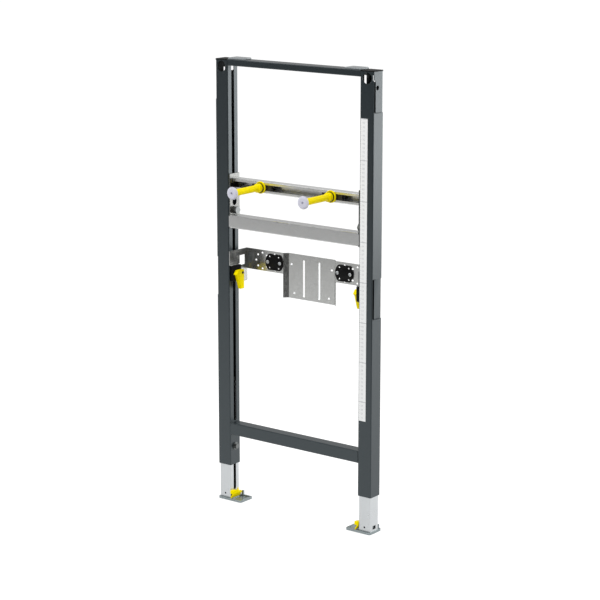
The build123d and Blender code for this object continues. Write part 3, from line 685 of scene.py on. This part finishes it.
def finish(slot):
    """The material of one finish, built once."""
    if slot in finishes:
        return finishes[slot]
    kind, colour_name, group_values, shader_values, depth = FINISH_TABLE[slot]
    colour = tuple(getattr(bpy.context.scene.basin_finishes, colour_name)) + (1.0,)
    material = bpy.data.materials.new("finish_" + slot)
    material.use_nodes = True
    tree = material.node_tree
    shader = tree.nodes["Principled BSDF"]
    for label, value in shader_values.items():
        shader.inputs[label].default_value = value
    surface = group_node(tree, kind, {**surface_values(kind, colour), **group_values})
    bump = tree.nodes.new("ShaderNodeBump")
    bump.inputs["Strength"].default_value = BUMP_STRENGTH
    bump.inputs["Distance"].default_value = depth
    tree.links.new(surface.outputs["Height"], bump.inputs["Height"])
    tree.links.new(bump.outputs["Normal"], shader.inputs["Normal"])
    skin, sheen = surface.outputs["Colour"], surface.outputs["Roughness"]
    # painted shade: inside the tubes and on their upper ends the base colour is darkened and the
    # roughness raised
    if slot in PAINTED_TUBE_SHADES:
        unshaded = group_node(tree, "hollow", hollow_values(slot)).outputs["Shown"]
        skin = shade_node(tree, skin, unshaded)
        sheen = math_node(tree, "MAXIMUM", sheen, math_node(tree, "SUBTRACT", 1.0, unshaded))
    tree.links.new(skin, shader.inputs["Base Color"])
    tree.links.new(sheen, shader.inputs["Roughness"])
    finishes[slot] = material
    return material


# Operators: one for each group of pieces.


class BASIN_OT_coat_nodes(bpy.types.Operator):
    """Gives every CAD node the finish of its record slot, or its own"""

    bl_idname = "basin.coat_nodes"
    bl_label = "Coat the frame"

    def execute(self, context):
        for part in frame["record"]["subparts"]:
            node = frame["nodes"][part["node"]]
            material = finish(OWN_FINISH.get(part["node"], part["material_slot"]))
            if not node.material_slots:
                node.data.materials.append(material)
            for slot in node.material_slots:
                slot.material = material
        return {"FINISHED"}


CUTTER_DEPTH = 0.014  # half of it lies in the post


class BASIN_OT_post_slits(bpy.types.Operator):
    """Opens the slits beside the pressed-in zones of each post"""

    bl_idname = "basin.post_slits"
    bl_label = "Post slits"

    def execute(self, context):
        sizes = context.scene.basin_fittings
        slits = ((sizes.upper_slit, sizes.upper_length), (sizes.lower_slit, sizes.lower_length))
        for side, sign in (("left", -1), ("right", 1)):
            node = side + "_post"
            low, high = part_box(node)
            piece = copied(node, node + "_slit")
            # The slits lie in the outer side: on the right post next to the front wall, which
            # carries the strip, and on the left post next to the back wall.
            outer = high.x if sign > 0 else low.x
            edge = low.y if sign > 0 else high.y
            place_y = edge + sign * (sizes.slit_from + sizes.slit_to) / 2
            for drop, length in slits:
                deselect()
                bpy.ops.mesh.primitive_cube_add(
                    size=1.0, location=(outer, place_y, high.z - drop - length / 2))
                cutter = context.active_object
                cutter.scale = (CUTTER_DEPTH, sizes.slit_to - sizes.slit_from, length)
                apply_place()
                make_active(piece)
                cut = piece.modifiers.new("slit", "BOOLEAN")
                cut.operation = "DIFFERENCE"
                cut.solver = "EXACT"
                cut.object = cutter
                bpy.ops.object.modifier_apply(modifier=cut.name)
                bpy.data.objects.remove(cutter, do_unlink=True)
            dress(even_normals(settle(piece)), "frame", "powder_coat", node)
        return {"FINISHED"}


# The sleeve's long part and its bores, and the collar at the rail
SLEEVE_RADIUS = 0.0085
SLEEVE_BORE, SLEEVE_BACK_BORE = 0.0055, 0.0070
SLEEVE_CHAMFER = 0.0005
COLLAR_LENGTH = 0.0110
FILLET_OUT, FILLET_ALONG = 0.0003, 0.0002  # between the long part and the collar
TURNED_EDGE = 0.0006  # chamfer of the collar's and the ring's outer edges

# The cap's dome: share of the rim's radius, share of the cap's thickness from the front
CAP_DOME = (
    (0.62, 0.0), (0.78, 0.06), (0.89, 0.18), (0.96, 0.36), (1.0, 0.62), (1.0, 0.86), (0.97, 0.95),
    (0.90, 1.0))
CAP_HOLE = (0.0030, 0.0031, 0.0036)  # radius of its hole at the floor, the wall and the mouth
CAP_HOLE_DEPTH = 0.92  # share of the cap's thickness
CAP_HOLE_EDGE = 0.0006
CAP_BACK = 0.004
CAP_SMOOTH = 50.0

# The ring's front: share of the rim's radius, distance behind its highest edge
RING_FRONT = (
    (0.70, 0.0012), (0.82, 0.0010), (0.86, 0.0), (0.95, 0.0), (0.99, 0.0006), (1.0, 0.0014))
RING_BACK = 0.5


def sleeve_profile(root, low, high):
    """The sleeve of a stud: root is the collar's radius, low and high its front and back."""
    collar = high - COLLAR_LENGTH
    return [
        (SLEEVE_BORE, low), (SLEEVE_RADIUS - SLEEVE_CHAMFER, low),
        (SLEEVE_RADIUS, low + SLEEVE_CHAMFER), (SLEEVE_RADIUS, collar - FILLET_ALONG),
        (SLEEVE_RADIUS + FILLET_OUT, collar), (root - TURNED_EDGE, collar),
        (root, collar + TURNED_EDGE), (root, high - TURNED_EDGE), (root - TURNED_EDGE, high),
        (SLEEVE_BACK_BORE, high)]


def cap_profile(rim, low, high):
    """The cap of a stud: a small hole in a low dome."""
    thick = high - low
    floor, wall, mouth = CAP_HOLE
    hole = [(floor, low + thick * CAP_HOLE_DEPTH), (wall, low + CAP_HOLE_EDGE), (mouth, low)]
    return hole + [(rim * k, low + thick * t) for k, t in CAP_DOME] + [(CAP_BACK, high)]


def ring_profile(rim, low, high):
    """The ring of a stud: a dished front and a chamfered back."""
    return [(rim * k, low + t) for k, t in RING_FRONT] + [
        (rim, high - TURNED_EDGE), (rim - TURNED_EDGE, high), (rim * RING_BACK, high)]


class BASIN_OT_stud_sleeves(bpy.types.Operator):
    """Turns the yellow sleeve, ring and white cap of each basin stud"""

    bl_idname = "basin.stud_sleeves"
    bl_label = "Stud sleeves, rings and caps"

    def execute(self, context):
        sides = context.scene.basin_fittings.turned_sides
        for side in SIDES:
            for stem, profile, slot, angle in (
                    ("sleeve", sleeve_profile, "yellow_plastic", SMOOTH),
                    ("cap", cap_profile, "white_plastic", CAP_SMOOTH),
                    ("ring", ring_profile, "yellow_plastic", SMOOTH)):
                node = side + "_stud_" + stem
                low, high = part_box(node)
                steps = profile((high.x - low.x) / 2, low.y, high.y)
                piece = turned(side + "_" + stem + "_turned", (low + high) / 2, steps, sides)
                dress(settle(piece, angle), side + "_stud_group", slot, node)
        return {"FINISHED"}


# Moulded pieces: stem of the CAD node, finish, share of the soft edge
MOULDED = (
    ("post_cap", "black_plastic", 0.5), ("connector", "saddle_grey", 0.8),
    ("tap_fixing", "black_plastic", 0.7), ("clamp_body", "black_plastic", 1.0),
    ("clamp_lever", "yellow_plastic", 1.6), ("foot_lock", "yellow_plastic", 0.8))


class BASIN_OT_moulded_pieces(bpy.types.Operator):
    """Rounds the edges of the connectors and of the moulded caps, clamps, levers and locks"""

    bl_idname = "basin.moulded_pieces"
    bl_label = "Moulded pieces"

    def execute(self, context):
        width = context.scene.basin_fittings.soft_edge
        for side in SIDES:
            for stem, slot, share in MOULDED:
                node = side + "_" + stem
                piece = softened(node, node + "_moulded", width * share)
                dress(piece, body_of_node(node), slot, node)
        return {"FINISHED"}


# A screw's head: share of its radius, share of its height above the tap plate
SCREW_HEAD = ((0.34, 0.25), (0.42, 0.95), (0.62, 1.0), (0.86, 0.72), (1.0, 0.2))
SCREW_OFFSET = 0.0195  # from the middle of the tap plate
SCREW_SEAT = 0.0003  # how deep the head's edge sinks into the plate
SCREW_BACK, SCREW_BACK_SHARE = 0.0004, 0.4
SCREW_SIDES = 32


class BASIN_OT_tap_screws(bpy.types.Operator):
    """Adds the two pan-head screws that hold each tap plate"""

    bl_idname = "basin.tap_screws"
    bl_label = "Tap plate screws"

    def execute(self, context):
        sizes = context.scene.basin_fittings
        radius = sizes.screw_head / 2
        for side in SIDES:
            low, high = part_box(side + "_tap_fixing")
            middle = (low + high) / 2
            face = low.y
            steps = [(radius * k, face - sizes.screw_head_height * t) for k, t in SCREW_HEAD]
            steps += [
                (radius, face + SCREW_SEAT), (radius * SCREW_BACK_SHARE, face + SCREW_BACK)]
            for index, sign in enumerate((-1, 1)):
                place = Vector((middle.x + sign * SCREW_OFFSET, middle.y, middle.z))
                screw = turned("%s_tap_screw_%d" % (side, index), place, steps, SCREW_SIDES)
                dress(settle(screw), "pipe_carriage", "bright_steel")
        return {"FINISHED"}


STRIP_MARGIN = 0.004  # part of the strip without numbers, at each end
NUMBER_EDGE = 0.0128  # right edge of the numbers, from the left edge of the strip
FONT_SHARE = 1.35  # font size over digit height


class BASIN_OT_scale_numbers(bpy.types.Operator):
    """Prints the numbers of the measuring strip"""

    bl_idname = "basin.scale_numbers"
    bl_label = "Scale numbers"

    def execute(self, context):
        scale = context.scene.basin_scale
        low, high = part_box("measuring_strip")
        pitch = scale.fine_pitch
        first = math.ceil((low.z + STRIP_MARGIN - scale.zero) / pitch)
        last = math.floor((high.z - STRIP_MARGIN - scale.zero) / pitch)
        made = []
        for count in range(first, last + 1):
            deselect()
            bpy.ops.object.text_add(location=(0, 0, 0))
            text = context.active_object
            text.data.body = str(count)
            text.data.size = scale.digit_height * FONT_SHARE
            text.data.extrude = scale.film / 2
            text.data.resolution_u = 2
            text.data.align_x = "RIGHT"
            text.data.align_y = "CENTER"
            text.rotation_euler = (math.radians(90), 0, 0)
            text.location = (
                low.x + NUMBER_EDGE, low.y - scale.film / 2, scale.zero + count * pitch)
            make_active(text)
            bpy.ops.object.convert(target="MESH")
            apply_place()
            made.append(context.active_object)
        deselect()
        for piece in made:
            piece.select_set(True)
        context.view_layer.objects.active = made[0]
        bpy.ops.object.join()
        numbers = context.active_object
        numbers.name = "scale_numbers"
        numbers.data.materials.clear()
        numbers.data.materials.append(finish("scale_ink"))
        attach(numbers, "frame")
        return {"FINISHED"}


WELD_SHORT = 0.006  # how much shorter a bead is than the member is high
WELD_SIDES = 12
WELD_SMOOTH = 60.0
WELD_END_SHARE = 0.5  # rounding of a bead's ends, over its radius
WELD_END_ANGLE = 50.0


class BASIN_OT_weld_beads(bpy.types.Operator):
    """Lays the weld beads where the cross members meet the posts"""

    bl_idname = "basin.weld_beads"
    bl_label = "Weld beads"

    def execute(self, context):
        radius = context.scene.basin_fittings.weld
        for member in ("top_cross_member", "bottom_cross_member"):
            low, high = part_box(member)
            for side, x in (("left", low.x), ("right", high.x)):
                place = (x, high.y, (low.z + high.z) / 2)
                deselect()
                bpy.ops.mesh.primitive_cylinder_add(
                    vertices=WELD_SIDES, radius=radius, depth=high.z - low.z - WELD_SHORT,
                    end_fill_type="TRIFAN", location=place)
                bead = context.active_object
                bead.name = "%s_%s_weld" % (side, member)
                edit_all()
                bpy.ops.mesh.bisect(plane_co=place, plane_no=(0, 0, 1))
                bpy.ops.object.mode_set(mode="OBJECT")
                apply_bevel(bead, radius * WELD_END_SHARE, WELD_END_ANGLE)
                dress(settle(bead, WELD_SMOOTH), "frame", "powder_coat")
        return {"FINISHED"}


# The studio: floor, reflector cards, soft light and camera.

FLOOR_DROP = 0.0002  # the floor lies this far below the feet
FLOOR_SHADE = 0.5
PAPER_ROUGHNESS = 0.9
FALL_POWER = 1.5  # how fast a card's glow falls from its foot

# name, middle, turn about Z in degrees, width, height, setting of its foot's glow or none,
# setting of its shade
CARDS = (
    ("front_card", (-1.9, -2.4, 0.8), 0.0, 6.4, 1.6, "card_foot", "card_shade"),
    ("far_card", (0.0, -5.6, 2.2), 0.0, 12.0, 4.4, None, "card_shade"),
    ("back_left_card", (-2.3, 2.4, 1.75), 45.0, 4.5, 2.3, None, "back_shade"),
    ("right_card", (0.80, -1.02, 0.50), 38.0, 1.5, 0.96, None, "card_shade"),
)
# name, middle, width, height, setting of its brightness
PANELS = (
    ("panel_right", (1.90, 1.26, 1.10), 1.0, 1.7, "right_panel"),
    ("panel_back", (1.12, 1.90, 1.10), 1.0, 1.7, "back_panel"),
    ("panel_left", (-3.20, -0.60, 1.30), 1.9, 1.9, "left_panel"),
    ("panel_top", (-0.3, -2.6, 3.30), 3.4, 1.9, "top_panel"),
)
PANEL_TARGET = Vector((0.0, 0.03, 0.60))
CAMERA_PLACE = (3.00388, -3.84892, 1.67161)
CAMERA_DOWN, CAMERA_TURN = 12.722, 37.667  # degrees below level, and about Z
SENSOR_WIDTH = 36.0
FAR_CLIP = 200.0


def seen_rays(tree):
    """1 for the rays of the camera and of reflections, 0 for the rays that light the frame."""
    path = tree.nodes.new("ShaderNodeLightPath")
    seen = math_node(
        tree, "MAXIMUM", path.outputs["Is Camera Ray"], path.outputs["Is Glossy Ray"])
    return math_node(tree, "MAXIMUM", seen, path.outputs["Is Transmission Ray"])


def paper(name, shade, glow):
    """Matt studio paper; the glow shows only to the camera and in reflections."""
    material = bpy.data.materials.new(name)
    material.use_nodes = True
    tree = material.node_tree
    shader = tree.nodes["Principled BSDF"]
    shader.inputs["Base Color"].default_value = (shade, shade, shade, 1)
    shader.inputs["Roughness"].default_value = PAPER_ROUGHNESS
    shader.inputs["Specular IOR Level"].default_value = 0.0
    shader.inputs["Emission Color"].default_value = (1, 1, 1, 1)
    tree.links.new(
        math_node(tree, "MULTIPLY", seen_rays(tree), glow), shader.inputs["Emission Strength"])
    return material


def graded_paper(name, height, foot_glow, shade):
    """Paper that gives off a glow falling from its foot on the floor to a shade at its top."""
    material = bpy.data.materials.new(name)
    material.use_nodes = True
    tree = material.node_tree
    tree.nodes.remove(tree.nodes["Principled BSDF"])
    place = tree.nodes.new("ShaderNodeTexCoord")
    parts = tree.nodes.new("ShaderNodeSeparateXYZ")
    tree.links.new(place.outputs["Object"], parts.inputs["Vector"])
    fall = range_node(tree, parts.outputs["Z"], 1.0, 0.0)
    fall.node.inputs["From Max"].default_value = height
    curve = math_node(tree, "MULTIPLY", math_node(tree, "POWER", fall, FALL_POWER), foot_glow)
    glow = tree.nodes.new("ShaderNodeEmission")
    tree.links.new(math_node(tree, "ADD", curve, shade), glow.inputs["Strength"])
    tree.links.new(glow.outputs["Emission"], tree.nodes["Material Output"].inputs["Surface"])
    return material


class BASIN_OT_studio(bpy.types.Operator):
    """Sets the pale floor, the soft light and the camera"""

    bl_idname = "basin.studio"
    bl_label = "Studio"

    def execute(self, context):
        settings = context.scene.basin_studio
        self.lay_floor(context, settings)
        self.stand_cards(context, settings)
        self.hang_lights(context, settings)
        self.place_camera(context, settings)
        context.scene.view_settings.view_transform = "Standard"
        return {"FINISHED"}

    def lay_floor(self, context, settings):
        deselect()
        bpy.ops.mesh.primitive_plane_add(
            size=2 * settings.floor_half, location=(0, 0, -FLOOR_DROP))
        floor = context.active_object
        floor.name = "studio_floor"
        apply_place()
        floor.data.materials.append(paper("studio_paper", FLOOR_SHADE, settings.floor_glow))

    def stand_cards(self, context, settings):
        """Stands graded cards round the frame, which only its reflections see."""
        for name, place, turn, width, height, foot_setting, shade_setting in CARDS:
            foot_glow = getattr(settings, foot_setting) if foot_setting else 0.0
            shade = getattr(settings, shade_setting)
            deselect()
            bpy.ops.mesh.primitive_plane_add(
                size=1.0, location=place, rotation=(math.radians(90), 0, math.radians(turn)))
            card = context.active_object
            card.name = "studio_" + name
            card.scale = (width, height, 1.0)
            apply_place()
            card.data.materials.append(graded_paper("paper_" + name, height, foot_glow, shade))
            card.visible_camera = False
            card.visible_diffuse = False
            card.visible_shadow = False

    def hang_lights(self, context, settings):
        world = bpy.data.worlds.new("studio_world")
        context.scene.world = world
        world.use_nodes = True
        tree = world.node_tree
        sky = tree.nodes["Background"]
        sky.inputs["Color"].default_value = (1, 1, 1, 1)
        strength = range_node(tree, seen_rays(tree), settings.world_strength, 1.0)
        tree.links.new(strength, sky.inputs["Strength"])
        for name, place, width, height, glow_setting in PANELS:
            deselect()
            bpy.ops.object.light_add(type="AREA", location=place)
            lamp = context.active_object
            lamp.name = name
            lamp.data.shape = "RECTANGLE"
            lamp.data.size = width
            lamp.data.size_y = height
            # a panel of this power shows as bright as its setting says
            lamp.data.energy = getattr(settings, glow_setting) * math.pi * width * height
            aim = PANEL_TARGET - Vector(place)
            lamp.rotation_euler = aim.to_track_quat("-Z", "Y").to_euler()
            lamp.visible_camera = False

    def place_camera(self, context, settings):
        deselect()
        bpy.ops.object.camera_add(
            location=CAMERA_PLACE,
            rotation=(math.radians(90 - CAMERA_DOWN), 0, math.radians(CAMERA_TURN)))
        camera = context.active_object
        camera.name = "studio_camera"
        camera.data.sensor_width = SENSOR_WIDTH
        camera.data.lens = settings.lens
        camera.data.clip_end = FAR_CLIP
        context.scene.camera = camera


class VIEW3D_PT_basin_frame(bpy.types.Panel):
    """Lists the steps that dress the frame"""

    bl_idname = "VIEW3D_PT_basin_frame"
    bl_label = "Basin Frame"
    bl_space_type = "VIEW_3D"
    bl_region_type = "UI"
    bl_category = "Basin Frame"

    def draw(self, context):
        layout = self.layout
        for step in STEPS:
            layout.operator(step.bl_idname)
        for group, kind in SETTINGS:
            box = layout.box()
            for name in kind.__annotations__:
                box.prop(getattr(context.scene, group), name)


SETTINGS = (
    ("basin_finishes", FrameFinishes),
    ("basin_scale", ScaleSizes),
    ("basin_fittings", FittingSizes),
    ("basin_studio", StudioSettings),
)
STEPS = (
    BASIN_OT_coat_nodes,
    BASIN_OT_post_slits,
    BASIN_OT_stud_sleeves,
    BASIN_OT_moulded_pieces,
    BASIN_OT_tap_screws,
    BASIN_OT_scale_numbers,
    BASIN_OT_weld_beads,
    BASIN_OT_studio,
)


def register():
    for name, group in SETTINGS:
        bpy.utils.register_class(group)
        setattr(bpy.types.Scene, name, PointerProperty(type=group))
    for step in STEPS:
        bpy.utils.register_class(step)
    bpy.utils.register_class(VIEW3D_PT_basin_frame)


def unregister():
    bpy.utils.unregister_class(VIEW3D_PT_basin_frame)
    for step in reversed(STEPS):
        bpy.utils.unregister_class(step)
    for name, group in reversed(SETTINGS):
        delattr(bpy.types.Scene, name)
        bpy.utils.unregister_class(group)


def main():
    register()
    bpy.ops.basin.coat_nodes()
    bpy.ops.basin.post_slits()
    bpy.ops.basin.stud_sleeves()
    bpy.ops.basin.moulded_pieces()
    bpy.ops.basin.tap_screws()
    bpy.ops.basin.scale_numbers()
    bpy.ops.basin.weld_beads()
    bpy.ops.basin.studio()


if __name__ == "__main__":
    main()
